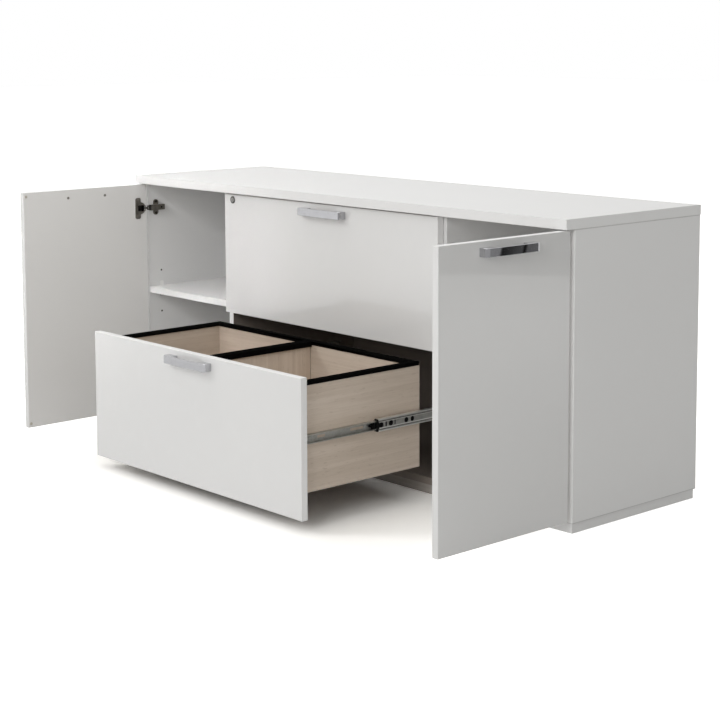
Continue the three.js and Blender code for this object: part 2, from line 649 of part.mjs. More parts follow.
// Rails cap the sides, the back and the partition in one frame, cut out over the top of the wood.
function fileRails() {
  const width = BOX_BOARD + 2 * (RAIL_PLAY + RAIL_WALL);
  const sideMiddle = boxHalf - BOX_BOARD / 2;
  const backMiddle = boxBackRear - BOX_BOARD / 2;
  const length = backMiddle + width / 2 - RAIL_FRONT_GAP;
  const sideRail = (x) => alongY(railSection(width, false), length).translate(x, RAIL_FRONT_GAP, boxTop);
  const backRail = alongY(railSection(width, false), 2 * sideMiddle).rotateZ(Math.PI / 2);
  backRail.translate(sideMiddle, backMiddle, boxTop);
  const centreLength = backMiddle - RAIL_FRONT_GAP;
  const centreRail = alongY(railSection(CENTRE_RAIL_WIDTH, true), centreLength);
  centreRail.translate(0, RAIL_FRONT_GAP, boxTop);
  const solid = join(backRail, sideRail(-sideMiddle), sideRail(sideMiddle), centreRail);
  const slot = BOX_BOARD + 2 * RAIL_PLAY;
  const deep = (w, d) => upright(rectangle(w, d), 2 * BOX_BOARD).translate(0, 0, boxTop + FIT - BOX_BOARD);
  const room = 2 * BOX_LENGTH;
  return cut(solid, deep(slot, room).translate(sideMiddle, 0, 0), deep(slot, room).translate(-sideMiddle, 0, 0),
    deep(2 * sideMiddle, slot).translate(0, backMiddle, 0),
    deep(slot, backMiddle).translate(0, backMiddle / 2, 0));
}

function addBox(drawer, word) {
  for (const [hand, way] of [["left", -1], ["right", 1]]) {
    const half = new THREE.Group();
    half.scale.x = way;
    drawer.add(half);
    addPiece(half, `${word}_box_${hand}_side`, boxSide(), BIRCH);
    addPiece(half, `${word}_${hand}_drawer_member`, drawerMember(), ZINC,
      dividerInner, DRAWER_MEMBER_GAP, RUNNER_RISE);
    const leverEnd = MIDDLE_SETBACK + DRAWER_TRAVEL / 2 + FRONT_GAP - LEVER_STANDOFF;
    const leverX = boxHalf + FIT + STEEL + FIT + LEVER_THICKNESS / 2;
    addPiece(half, `${word}_${hand}_release_lever`, releaseLever(), BLACK_RAIL, leverX, leverEnd, RUNNER_RISE);
  }
  const innerHalf = boxHalf - BOX_BOARD;
  addPiece(drawer, word + "_box_back", board(2 * (innerHalf - FIT), BOX_BOARD, boxHeight), BIRCH,
    0, boxBackFace + BOX_BOARD / 2, BOX_RISE + boxHeight / 2);
  const length = boxBackFace - 2 * FIT;
  const bottomTop = BOX_RISE + GROOVE_RISE + FIT + BOX_BOTTOM;
  addPiece(drawer, word + "_box_bottom", board(2 * (innerHalf + GROOVE_DEPTH - FIT), length, BOX_BOTTOM), BIRCH,
    0, boxBackFace / 2, bottomTop - BOX_BOTTOM / 2);
  const partitionHeight = boxTop - bottomTop - FIT;
  addPiece(drawer, word + "_box_partition", board(BOX_BOARD, length, partitionHeight), BIRCH,
    0, boxBackFace / 2, boxTop - partitionHeight / 2);
  addPiece(drawer, word + "_file_rails", fileRails(), BLACK_RAIL);
}

// The barrel is a turned ring through the front, and the plug turns in it and carries the cam.
function lockBarrel() {
  const bore = LOCK_PLUG / 2 + LOCK_PLAY;
  const face = -FRONT_THICKNESS - FIT;
  const ring = [
    [bore, 0],
    [bore, face - LOCK_ROSETTE_THICKNESS],
    [LOCK_ROSETTE / 2 - EDGE_EASE, face - LOCK_ROSETTE_THICKNESS],
    [LOCK_ROSETTE / 2, face - LOCK_ROSETTE_THICKNESS + EDGE_EASE],
    [LOCK_ROSETTE / 2, face],
    [LOCK_BARREL / 2, face],
    [LOCK_BARREL / 2, 0],
    [bore, 0],
  ];
  return turned(ring);
}

function lockPlug() {
  const face = -FRONT_THICKNESS - FIT - LOCK_ROSETTE_THICKNESS;
  const camBack = CAM_GAP + CAM_THICKNESS;
  const radius = LOCK_PLUG / 2;
  const core = turned([[0, face], [radius, face], [radius, camBack], [0, camBack]]);
  const keyway = new THREE.BoxGeometry(KEYWAY_WIDTH, 2 * KEYWAY_DEPTH, KEYWAY_HEIGHT).translate(0, face, 0);
  const outline = new THREE.Shape();
  outline.moveTo(CAM_WIDTH / 2, 0);
  outline.absarc(0, CAM_LENGTH - CAM_WIDTH / 2, CAM_WIDTH / 2, 0, Math.PI);
  outline.lineTo(-CAM_WIDTH / 2, 0);
  const cam = upright(outline, CAM_THICKNESS).rotateX(Math.PI / 2);
  return join(cut(core, keyway), cam.translate(0, CAM_GAP + CAM_THICKNESS / 2, 0));
}

function addLock(drawer) {
  const [x, z] = lockCentre();
  addPiece(drawer, "lock_barrel", lockBarrel(), SATIN_METAL, x, 0, z);
  addPiece(drawer, "lock_plug", lockPlug(), NICKEL, x, 0, z);
}

function addDrawer(word, level, pulledOut, withLock) {
  const drawer = new THREE.Group();
  drawer.position.set(0, frontRear - pulledOut, frontBottom + level * drawerPitch);
  cabinet.add(drawer);
  addPiece(drawer, word + "_drawer_front", drawerFront(withLock), WHITE_GLOSS);
  addHandle(drawer, word + "_drawer_handle", 0, -FRONT_THICKNESS, drawerFrontHeight);
  addBox(drawer, word);
  if (withLock) {
    addLock(drawer);
  }
}

// Cabinet and middle members of one side: the middle one has moved half as far as the drawer.
function addRunners(half, hand) {
  for (const [word, level, pulledOut] of [["lower", 0, DRAWER_TRAVEL], ["upper", 1, 0]]) {
    const z = frontBottom + level * drawerPitch + RUNNER_RISE;
    addPiece(half, `${word}_${hand}_cabinet_member`, cabinetMember(), ZINC,
      dividerInner, frontEdge + RUNNER_SETBACK, z);
    addPiece(half, `${word}_${hand}_middle_member`, middleMember(), ZINC,
      dividerInner, frontEdge + MIDDLE_SETBACK - pulledOut / 2, z);
  }
}

addTopPanel();
addBaseBoard();
addBottomPanel();
addBackPanel();
for (const [word, way] of [["left", -1], ["right", 1]]) {
  const half = new THREE.Group();
  half.scale.x = way;
  cabinet.add(half);
  addEndPanel(half, word);
  addDivider(half, word);
  addShelf(half, word);
  addDoor(half, word);
  addRunners(half, word);
}
addDrawer("lower", 0, DRAWER_TRAVEL, false);
addDrawer("upper", 1, 0, true);

export default cabinet;
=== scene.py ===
"""Lateral filing cabinet: its finishes, its finer fittings, and the studio it is pictured in."""

import math

import bmesh
import bpy
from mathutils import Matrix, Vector


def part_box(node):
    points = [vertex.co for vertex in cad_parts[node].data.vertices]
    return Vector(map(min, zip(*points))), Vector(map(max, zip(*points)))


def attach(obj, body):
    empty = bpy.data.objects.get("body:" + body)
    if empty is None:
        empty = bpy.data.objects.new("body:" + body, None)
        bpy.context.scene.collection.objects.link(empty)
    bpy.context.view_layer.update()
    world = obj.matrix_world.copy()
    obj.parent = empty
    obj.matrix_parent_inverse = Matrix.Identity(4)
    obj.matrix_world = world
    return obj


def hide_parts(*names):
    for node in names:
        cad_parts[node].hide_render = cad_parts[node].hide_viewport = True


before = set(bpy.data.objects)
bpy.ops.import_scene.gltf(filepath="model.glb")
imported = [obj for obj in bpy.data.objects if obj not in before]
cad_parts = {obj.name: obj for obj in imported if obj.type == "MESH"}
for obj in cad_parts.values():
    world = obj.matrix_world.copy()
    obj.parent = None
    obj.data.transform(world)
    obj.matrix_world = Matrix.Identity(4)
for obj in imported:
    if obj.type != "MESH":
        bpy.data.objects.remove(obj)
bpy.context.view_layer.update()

MM = 0.001

# Sizes that the fittings share with the solids, in millimetres
BAY_HALF = 428.0
DOOR_INNER_X = 843.917
DOOR_OUTER_X = 862.917
DOOR_FREE_Y = -674.08
DOOR_HANDLE_Y = -460.33
CARCASS_FRONT_Y = -236.0
BACK_FACE_Y = 236.0
BACK_INNER_Y = 228.0
TOP_UNDERSIDE = 725.0
PANEL_INNER_X = 849.0
DIVIDER_OUTER_X = 447.0
UPPER_FRONT_Y = -257.0
LOWER_FRONT_Y = -705.0
UPPER_HANDLE_Z = 698.0
LOWER_HANDLE_Z = 350.5
HINGE_LEVELS = {"upper": 649.5, "lower": 103.5}
CUP_Y = -269.083
SHELF_UNDERSIDE = 387.0
SHELF_TOP = 406.0
HOLE_ROWS_MIDDLE = -4.0  # halfway between the two rows of clip holes
HOLE_ROWS_REACH = 187.0  # from there to each row
HOLE_MIDDLE_Z = 389.0
HOLE_PITCH = 64.0
HOLE_RADIUS = 3.0
CLIP_ROWS = (HOLE_ROWS_MIDDLE - HOLE_ROWS_REACH, HOLE_ROWS_MIDDLE + HOLE_ROWS_REACH)
DRILLED = {"end_panel": (840.0, 866.0), "divider": (430.0, 456.0)}  # where the holes lie in X
RUNNER_LEVELS = {"lower": 220.0, "upper": 567.5}
MIDDLE_FRONT = {"lower": -448.5, "upper": -224.5}
RUNNER_SCREW_X = 410.7
BOW_RADIUS = 1560.0  # of a handle's face in plan
HANDLE_FOOT = 64.0  # from a handle's middle to each of its screws
DRAWER_REAR_OF_FRONT = {"lower": -686.0, "upper": -238.0}
BOX_TOP = {"lower": 352.0, "upper": 699.5}
PARTITION_HALF = 6.5
EDGE_BAND = (1.1, 0.8)  # where the tone of an edge band begins and is full, under the edge
FACE_SKIN = (0.3, 0.8)  # the same for the tone of a face


class Value:
    """An output of a shader node. Arithmetic on it adds Math nodes."""

    def __init__(self, finish, socket):
        self.finish = finish
        self.socket = socket

    def math(self, operation, *others):
        return self.finish.node("ShaderNodeMath", {"operation": operation}, [self, *others])

    def __add__(self, other):
        return self.math("ADD", other)

    __radd__ = __add__

    def __mul__(self, other):
        return self.math("MULTIPLY", other)

    __rmul__ = __mul__

    def __sub__(self, other):
        return self.math("SUBTRACT", other)

    def __rsub__(self, other):
        return self.finish.node("ShaderNodeMath", {"operation": "SUBTRACT"}, [other, self])

    def least(self, other):
        return self.math("MINIMUM", other)

    def most(self, other):
        return self.math("MAXIMUM", other)

    def rise(self, start, end):
        """0 below start, 1 above end, smooth between."""
        sockets = {"Value": self, "From Min": start, "From Max": end}
        return self.finish.node("ShaderNodeMapRange", {"interpolation_type": "SMOOTHSTEP"}, sockets)


class Finish:
    """A procedural finish: one material with its Principled shader."""

    def __init__(self, name, sockets):
        self.material = bpy.data.materials.new(name)
        self.material.use_nodes = True
        self.nodes = self.material.node_tree.nodes
        self.links = self.material.node_tree.links
        self.shader = self.nodes["Principled BSDF"]
        for socket, value in sockets.items():
            self.shader.inputs[socket].default_value = value
        self.at = self.node("ShaderNodeTexCoord", output="Object")

    def node(self, kind, settings=None, sockets=None, output=0):
        """Adds a node: its settings first, then the values or links of its sockets."""
        made = self.nodes.new(kind)
        for key, value in (settings or {}).items():
            if key == "stops":
                ramp = made.color_ramp
                for element, (place, colour) in zip(list(ramp.elements), value):
                    element.position = place
                    element.color = colour
                for place, colour in value[len(ramp.elements):]:
                    ramp.elements.new(place).color = colour
            else:
                setattr(made, key, value)
        pairs = sockets.items() if isinstance(sockets, dict) else enumerate(sockets or [])
        for key, value in pairs:
            self.feed(made.inputs[key], value)
        return Value(self, made.outputs[output])

    def feed(self, socket, value):
        if isinstance(value, Value):
            self.links.new(value.socket, socket)
        else:
            socket.default_value = value

    def to(self, socket, value):
        self.feed(self.shader.inputs[socket], value)

    def stretched(self, scale):
        return self.node("ShaderNodeMapping", None, {"Vector": self.at, "Scale": scale})

    def noise(self, where, scale, detail=3.0, roughness=0.5, distortion=0.0):
        sockets = {"Vector": where, "Scale": scale, "Detail": detail, "Roughness": roughness,
                   "Distortion": distortion}
        return self.node("ShaderNodeTexNoise", None, sockets)

    def mixed(self, share, first, second):
        return self.node("ShaderNodeMix", {"data_type": "RGBA"}, {0: share, 6: first, 7: second}, 2)

    def bumped(self, height, strength, distance):
        """Raises the surface by a height that runs from 0 to 1, over a distance in millimetres."""
        sockets = {"Height": height, "Strength": strength, "Distance": distance * MM}
        self.to("Normal", self.node("ShaderNodeBump", None, sockets))

    def axes(self):
        split = self.node("ShaderNodeSeparateXYZ", None, [self.at]).socket.node
        return [Value(self, output) for output in split.outputs]

    def edge_distance(self, low, high):
        """How far a point of a board that fills the box is from the board's nearest edge."""
        depths = []
        for place, start, end in zip(self.axes(), low, high):
            depths.append((end - start) / 2 - (place - (start + end) / 2).math("ABSOLUTE"))
        x, y, z = depths
        return x.least(y).most(x.most(y).least(z))


def grey(value, warmth=0.0):
    return (value * (1 + warmth), value, value * (1 - 1.6 * warmth), 1)


# Finishes of the boards
def seam_and_wear(finish, node):
    """A glue line just inside each edge of a board, and rubbed patches along the edge itself."""
    low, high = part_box(node)
    distance = finish.edge_distance(low, high)
    patches = finish.noise(finish.at, 60.0, 4.0).rise(0.45, 0.62)
    rubbed = (1 - distance.rise(0.0, 2.2 * MM)) * patches
    seam = distance.rise(0.7 * MM, 1.1 * MM) * (1 - distance.rise(1.2 * MM, 1.7 * MM))
    return rubbed, seam


def melamine(node, painted_bay_shade=None):
    """White board with a fine pearl texture. Its second argument gives where a dark board is
    painted on it as the shade of the drawer bay.
    """
    finish = Finish(node + "_melamine", {"Specular IOR Level": 0.45})
    rubbed, seam = seam_and_wear(finish, node)
    cloud = finish.noise(finish.at, 2.6, 2.0)
    pearl = finish.noise(finish.at, 1500.0, 2.0, 0.6)
    colour = finish.mixed(cloud, grey(0.775, 0.004), grey(0.80, 0.006))
    colour = finish.mixed(rubbed * 0.16 + seam * 0.2, colour, grey(0.52, 0.02))
    roughness = 0.36 + 0.08 * cloud + 0.08 * pearl + 0.1 * rubbed
    if node.endswith("end_panel"):
        # the lighter front edge band is partly a painted highlight
        colour = finish.mixed(front_band_and_highlight(finish), colour, grey(0.86, 0.006))
        colour = finish.mixed(joint_lines(finish, node) * 0.45, colour, grey(0.3, 0.02))
    if node == "base_board":
        # painted shade and dust on the front of the base board, under the drawers
        colour = finish.mixed(kick_dust_and_shade(finish), colour, (0.37, 0.33, 0.295, 1))
    kind = node.partition("_")[2]
    if kind in DRILLED:
        # painted shade in the clip holes
        colour = finish.mixed(hole_shade(finish, *DRILLED[kind]), colour, (0.07, 0.054, 0.04, 1))
    # dark board painted on in the drawer bay as its shade
    if painted_bay_shade:
        dark = painted_bay_shade(finish)
        flecks = finish.noise(finish.at, 420.0, 3.0, 0.6)
        board = finish.mixed(flecks, (0.215, 0.183, 0.157, 1), (0.295, 0.252, 0.219, 1))
        colour = finish.mixed(dark, colour, board)
        roughness = roughness + 0.2 * dark
    finish.to("Base Color", colour)
    finish.to("Roughness", roughness)
    finish.bumped(pearl * 0.7 + cloud * 0.3, 0.12, 0.12)
    return finish.material


def joint_lines(finish, node):
    """Shadow and dust in the joints over and under an upright board."""
    low, high = (corner[2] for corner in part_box(node))
    z = finish.axes()[2]
    under = 1 - z.rise(low + 1.4 * MM, low + 2.4 * MM)
    over = z.rise(high - 2.4 * MM, high - 1.4 * MM)
    return under.most(over)


def front_band_and_highlight(finish):
    """The edge band along the front of the carcass, lighter in part as a painted highlight."""
    start, end = ((CARCASS_FRONT_Y + depth) * MM for depth in FACE_SKIN)
    return 1 - finish.axes()[1].rise(start, end)


def kick_dust_and_shade(finish):
    """Dust and shoe marks on the front of the base board, with painted shade under the drawers."""
    x, y, _ = finish.axes()
    streaks = finish.noise(finish.stretched([3.0, 1.0, 160.0]), 1.0, 3.0)
    front = 1 - y.rise((CARCASS_FRONT_Y + 5) * MM, (CARCASS_FRONT_Y + 7) * MM)
    under_drawers = 1 - x.math("ABSOLUTE").rise(360 * MM, 600 * MM)
    return front * under_drawers * (0.7 + 0.5 * streaks)


def hole_shade(finish, first, last):
    """The clip holes of an upright board and their edges, between two places in X, for painted
    shade in them.
    """
    x, y, z = finish.axes()
    across = (y - HOLE_ROWS_MIDDLE * MM).math("ABSOLUTE") - HOLE_ROWS_REACH * MM
    above = (z - HOLE_MIDDLE_Z * MM).math("ABSOLUTE") - HOLE_PITCH * MM
    distance = (across * across + above * above).math("SQRT")
    in_hole = 1 - distance.rise((HOLE_RADIUS - 0.2) * MM, (HOLE_RADIUS + 0.2) * MM)
    out = x.math("ABSOLUTE")
    return in_hole * out.rise(first * MM, (first + 1) * MM) * (
        1 - out.rise((last - 1) * MM, last * MM))


def divider_bay_shade(finish):
    """The faces of the dividers towards the drawers, where the bay's shade is painted."""
    out = finish.axes()[0].math("ABSOLUTE")
    return 1 - out.rise((BAY_HALF + 0.2) * MM, (BAY_HALF + 0.7) * MM)


def bay_shade_mask(finish):
    """All of a board between the dividers, and a little past their faces, where the bay's shade is
    painted.
    """
    out = finish.axes()[0].math("ABSOLUTE")
    return 1 - out.rise((BAY_HALF + 1) * MM, (BAY_HALF + 2) * MM)


def ceiling_bay_shade(finish):
    """The underside of the top panel, between the dividers, where the bay's shade is painted."""
    start, end = (TOP_UNDERSIDE + 0.3) * MM, (TOP_UNDERSIDE + 0.6) * MM
    return bay_shade_mask(finish) * (1 - finish.axes()[2].rise(start, end))


def back_bay_shade(finish):
    """The front of the back panel, between the dividers, where the bay's shade is painted."""
    start, end = ((BACK_INNER_Y + depth) * MM for depth in FACE_SKIN)
    return bay_shade_mask(finish) * (1 - finish.axes()[1].rise(start, end))


def lacquer(node, inner_axis, inner_at, inner_way):
    """High-gloss white lacquer, with satin edge bands that are lighter in part as a painted
    highlight, and a satin face towards the inside.
    """
    finish = Finish(node + "_gloss_lacquer", {
        "Specular IOR Level": 0.5, "Coat Roughness": 0.03, "Coat IOR": 1.5})
    rubbed, seam = seam_and_wear(finish, node)
    place = finish.axes()[inner_axis]
    near, deep = FACE_SKIN
    if inner_way > 0:
        inner = place.rise((inner_at - deep) * MM, (inner_at - near) * MM)
    else:
        inner = 1 - place.rise((inner_at + near) * MM, (inner_at + deep) * MM)
    cloud = finish.noise(finish.at, 3.1, 3.0)
    smears = finish.noise(finish.at, 14.0, 4.0, 0.6, 0.6).rise(0.5, 0.72)
    peel = finish.noise(finish.at, 240.0, 2.0)
    pearl = finish.noise(finish.at, 1500.0, 2.0, 0.6)
    colour = finish.mixed(cloud, grey(0.715, 0.005), grey(0.735, 0.008))
    colour = finish.mixed(inner, colour, grey(0.785, 0.014))
    band = edge_bands_and_highlight(finish, node)
    # the lighter edge-band tone is partly a painted highlight on the upper edges
    colour = finish.mixed(band, colour, grey(0.86, 0.004))
    satin = inner.most(band)
    finish.to("Base Color", finish.mixed(rubbed * 0.12 + seam * 0.16, colour, grey(0.5, 0.02)))
    gloss = 0.14 + 0.05 * cloud + 0.05 * smears + 0.12 * rubbed
    finish.to("Roughness", gloss + satin * (0.26 + 0.08 * pearl))
    finish.to("Coat Weight", (1 - satin) * (0.8 - 0.15 * smears))
    finish.bumped(peel * (1 - satin) * 0.5 + pearl * satin, 0.1, 0.1)
    return finish.material


def edge_bands_and_highlight(finish, node):
    """The lighter bands on the upper edge of a front, and on both ends of a drawer front, partly a
    painted highlight.
    """
    x, _, z = finish.axes()
    side, _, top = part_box(node)[1]
    band = z.rise(*(top - depth * MM for depth in EDGE_BAND))
    if node.endswith("drawer_front"):
        band = band.most(x.math("ABSOLUTE").rise(*(side - depth * MM for depth in EDGE_BAND)))
    return band


def birch(node, along, tint):
    """Birch-faced board with its grain along an axis. tint is how light it is."""
    finish = Finish(node + "_birch", {"Specular IOR Level": 0.35})
    rubbed, seam = seam_and_wear(finish, node)
    wide = [38.0, 38.0, 38.0]
    fine = [420.0, 420.0, 420.0]
    fleck = [260.0, 260.0, 260.0]
    wide[along] = 1.6
    fine[along] = 9.0
    fleck[along] = 45.0
    figure = finish.noise(finish.stretched(wide), 1.0, 5.0, 0.55, 0.7)
    fibres = finish.noise(finish.stretched(fine), 1.0, 4.0, 0.6)
    flecks = finish.noise(finish.stretched(fleck), 1.0, 2.0, 0.5).rise(0.6, 0.74)
    tone = finish.noise(finish.at, 1.7, 1.0)
    colour = finish.node("ShaderNodeValToRGB", {"stops": [
        (0.22, (0.47 * tint, 0.385 * tint, 0.31 * tint, 1)),
        (0.48, (0.58 * tint, 0.49 * tint, 0.405 * tint, 1)),
        (0.60, (0.635 * tint, 0.545 * tint, 0.46 * tint, 1)),
        (0.80, (0.685 * tint, 0.60 * tint, 0.515 * tint, 1)),
    ]}, [figure * 0.62 + fibres * 0.30 + tone * 0.1])
    colour = finish.mixed(flecks * 0.28, colour, (0.37, 0.285, 0.21, 1))
    colour = finish.mixed(rubbed * 0.3 + seam * 0.1, colour, (0.33, 0.26, 0.2, 1))
    if node.endswith("box_bottom"):
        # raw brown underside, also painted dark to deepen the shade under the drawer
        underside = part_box(node)[0][2]
        raw_and_shaded_underside = 1 - finish.axes()[2].rise(underside + 0.3 * MM, underside + 0.6 * MM)
        brown = finish.mixed(fibres, (0.085, 0.053, 0.031, 1), (0.135, 0.086, 0.052, 1))
        colour = finish.mixed(raw_and_shaded_underside, colour, brown)
    if node.endswith("box_back"):
        # painted shade, with some dirt, in the corner where the partition meets the back
        beside = finish.axes()[0].math("ABSOLUTE") - PARTITION_HALF * MM
        partition_corner_shade = 1 - beside.rise(0.8 * MM, 2.2 * MM)
        colour = finish.mixed(partition_corner_shade * 0.65, colour, (0.2, 0.155, 0.12, 1))
    finish.to("Base Color", colour)
    finish.to("Roughness", 0.5 + 0.16 * fibres + 0.08 * flecks)
    finish.bumped(fibres * 0.7 + figure * 0.2 - flecks * 0.3, 0.3, 0.15)
    return finish.material


# Finishes of the metal and plastic parts
def zinc_steel(name, bead_level=None):
    """Bright zinc plate. A beaded member, at bead_level, gets painted shade along its steps and
    painted highlight lines along its beads.
    """
    finish = Finish(name, {"Metallic": 1.0})
    spangle = finish.node(
        "ShaderNodeTexVoronoi", {"feature": "SMOOTH_F1"}, {"Vector": finish.at, "Scale": 160.0})
    rolled = finish.noise(finish.stretched([700.0, 12.0, 700.0]), 1.0, 3.0, 0.6)
    grime = finish.noise(finish.at, 34.0, 4.0).rise(0.5, 0.75)
    bright = rolled * 0.6 + spangle * 0.5
    colour = finish.mixed(bright, (0.40, 0.40, 0.38, 1), (0.60, 0.60, 0.57, 1))
    colour = finish.mixed(grime * 0.5, colour, (0.22, 0.21, 0.19, 1))
    if bead_level:
        height = (finish.axes()[2] - bead_level * MM).math("ABSOLUTE")
        step = height.rise(8.6 * MM, 9.2 * MM) * (1 - height.rise(10.6 * MM, 11.2 * MM))
        bead_highlight = height.rise(6.4 * MM, 6.9 * MM) * (1 - height.rise(8.2 * MM, 8.8 * MM))
        bead_highlight = bead_highlight.most(height.rise(12.6 * MM, 13.4 * MM))
        # painted shade in the bead steps and painted highlight lines on the beads
        colour = finish.mixed(step * 0.8, colour, (0.08, 0.076, 0.068, 1))
        colour = finish.mixed(bead_highlight * 0.9, colour, (0.90, 0.90, 0.87, 1))
    finish.to("Base Color", colour)
    finish.to("Roughness", 0.26 + 0.16 * rolled + 0.14 * grime)
    finish.bumped(rolled * 0.8 + spangle * 0.2, 0.15, 0.1)
    return finish.material


def nickel_plate(name, hollow_shade_from=None, shaded_end_to=None):
    """Dull nickel, with painted shade in a cup's hollow, which starts that far from X = 0, or on
    the front end of an arm, up to a given Y.
    """
    finish = Finish(name, {"Metallic": 1.0})
    cloud = finish.noise(finish.at, 90.0, 4.0)
    pits = finish.noise(finish.at, 900.0, 2.0)
    colour = finish.mixed(cloud, (0.17, 0.158, 0.138, 1), (0.33, 0.31, 0.278, 1))
    if hollow_shade_from:
        # painted shade in the cup's hollow
        depth = finish.axes()[0].math("ABSOLUTE").rise(hollow_shade_from * MM, (hollow_shade_from + 1.5) * MM)
        colour = finish.mixed(depth * 0.92, colour, (0.012, 0.011, 0.01, 1))
    if shaded_end_to:
        # painted shade on the arm's front end
        front = 1 - finish.axes()[1].rise((shaded_end_to - 0.8) * MM, (shaded_end_to + 0.8) * MM)
        colour = finish.mixed(front * 0.85, colour, (0.012, 0.011, 0.01, 1))
    finish.to("Base Color", colour)
    finish.to("Roughness", 0.22 + 0.14 * cloud + 0.1 * pits)
    finish.bumped(pits, 0.1, 0.05)
    return finish.material


def browned_steel():
    """Dark steel of the plate screws."""
    finish = Finish("browned_screw_steel", {"Metallic": 1.0})
    cloud = finish.noise(finish.at, 500.0, 3.0)
    finish.to("Base Color", finish.mixed(cloud, (0.035, 0.031, 0.027, 1), (0.08, 0.073, 0.064, 1)))
    finish.to("Roughness", 0.3 + 0.2 * cloud)
    finish.bumped(cloud, 0.1, 0.05)
    return finish.material


def satin_handle(name, along):
    """Satin chrome, brushed along the bar."""
    finish = Finish(name, {"Metallic": 1.0})
    scale = [1600.0, 1600.0, 1600.0]
    scale[along] = 14.0
    brushed = finish.noise(finish.stretched(scale), 1.0, 3.0, 0.6)
    cloud = finish.noise(finish.at, 45.0, 3.0)
    prints = finish.noise(finish.at, 130.0, 4.0, 0.6, 0.5).rise(0.52, 0.7)
    colour = finish.mixed(cloud, (0.49, 0.49, 0.51, 1), (0.55, 0.55, 0.57, 1))
    finish.to("Base Color", finish.mixed(prints * 0.2, colour, (0.36, 0.36, 0.37, 1)))
    finish.to("Roughness", 0.02 + 0.03 * brushed + 0.04 * prints)
    finish.bumped(brushed, 0.04, 0.03)
    return finish.material


def lock_metal(name, dull, bright):
    """Turned lock metal, with painted shade in the key slot."""
    finish = Finish(name, {"Metallic": 1.0})
    scratches = finish.noise(finish.at, 800.0, 4.0, 0.7)
    keyway_shade = finish.axes()[1].rise((UPPER_FRONT_Y - 1.4) * MM, (UPPER_FRONT_Y - 0.9) * MM)
    colour = finish.mixed(scratches, grey(dull, 0.02), grey(bright, 0.02))
    # painted shade in the key slot
    finish.to("Base Color", finish.mixed(keyway_shade, colour, grey(0.015, 0.04)))
    finish.to("Roughness", 0.22 + 0.2 * scratches)
    finish.bumped(scratches, 0.1, 0.05)
    return finish.material


def black_plastic(name, value, sheen=0.08, ior=1.5):
    finish = Finish(name, {"Specular IOR Level": sheen, "IOR": ior})
    grain = finish.noise(finish.at, 1300.0, 3.0, 0.6)
    dust = finish.noise(finish.at, 18.0, 5.0, 0.6).rise(0.55, 0.8)
    dusty = grey(value * 2.4 + 0.002, 0.04)
    finish.to("Base Color", finish.mixed(dust * 0.5 + grain * 0.2, grey(value, 0.02), dusty))
    finish.to("Roughness", 0.5 + 0.14 * grain + 0.12 * dust)
    finish.bumped(grain, 0.2, 0.08)
    return finish.material


def clear_plastic():
    finish = Finish("clear_moulded_plastic", {"Transmission Weight": 0.4, "IOR": 1.49})
    flow = finish.noise(finish.at, 210.0, 2.0, 0.5, 0.4)
    finish.to("Base Color", finish.mixed(flow, (0.86, 0.87, 0.86, 1), (0.93, 0.94, 0.93, 1)))
    finish.to("Roughness", 0.08 + 0.16 * flow)
    finish.bumped(flow, 0.1, 0.1)
    return finish.material


def frosted_plastic():
    finish = Finish("frosted_white_plastic", {"Specular IOR Level": 0.4})
    flow = finish.noise(finish.at, 260.0, 3.0, 0.5, 0.3)
    finish.to("Base Color", finish.mixed(flow, grey(0.88, 0.01), grey(0.93, 0.01)))
    finish.to("Roughness", 0.34 + 0.2 * flow)
    finish.bumped(flow, 0.1, 0.06)
    return finish.material


def soft_bumper():
    finish = Finish("soft_clear_bumper", {"Transmission Weight": 0.35, "IOR": 1.45})
    cloud = finish.noise(finish.at, 320.0, 3.0)
    finish.to("Base Color", finish.mixed(cloud, (0.50, 0.46, 0.38, 1), (0.62, 0.58, 0.50, 1)))
    finish.to("Roughness", 0.3 + 0.2 * cloud)
    finish.bumped(cloud, 0.1, 0.05)
    return finish.material


def dress(material, *nodes):
    for node in nodes:
        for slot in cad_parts[node].material_slots:
            slot.material = material


# Shaping by hand
def block(name, low, high):
    """A cuboid between two corners in millimetres, ready to be shaped."""
    bpy.ops.object.select_all(action="DESELECT")
    centre = [(a + b) / 2 * MM for a, b in zip(low, high)]
    bpy.ops.mesh.primitive_cube_add(size=1, location=centre)
    piece = bpy.context.object
    piece.name = name
    piece.scale = [(b - a) * MM for a, b in zip(low, high)]
    bpy.ops.object.transform_apply(location=True, rotation=True, scale=True)
    return piece


def rod(name, radius, low, high, segments=48):
    """A round bar that stands on Z between two levels in millimetres."""
    bpy.ops.object.select_all(action="DESELECT")
    bpy.ops.mesh.primitive_cylinder_add(
        vertices=segments,
        radius=radius * MM,
        depth=(high - low) * MM,
        location=(0, 0, (low + high) / 2 * MM),
    )
    piece = bpy.context.object
    piece.name = name
    bpy.ops.object.transform_apply(location=True, rotation=True, scale=True)
    return piece


def pick(piece, kind, wanted):
    """Opens the piece in edit mode with only the wanted faces or edges selected."""
    bpy.ops.object.select_all(action="DESELECT")
    piece.select_set(True)
    bpy.context.view_layer.objects.active = piece
    bpy.ops.object.mode_set(mode="EDIT")
    bpy.ops.mesh.select_mode(type=kind)
    bpy.ops.mesh.select_all(action="DESELECT")
    mesh = bmesh.from_edit_mesh(piece.data)
    for item in (mesh.faces if kind == "FACE" else mesh.edges):
        if wanted(item):
            item.select_set(True)
    bmesh.update_edit_mesh(piece.data)


def close():
    bpy.ops.object.mode_set(mode="OBJECT")


def middle(item):
    return sum((corner.co for corner in item.verts), Vector()) / len(item.verts) / MM


def runs_along(axis):
    def wanted(edge):
        way = edge.verts[1].co - edge.verts[0].co
        return abs(way.normalized()[axis]) > 0.99
    return wanted


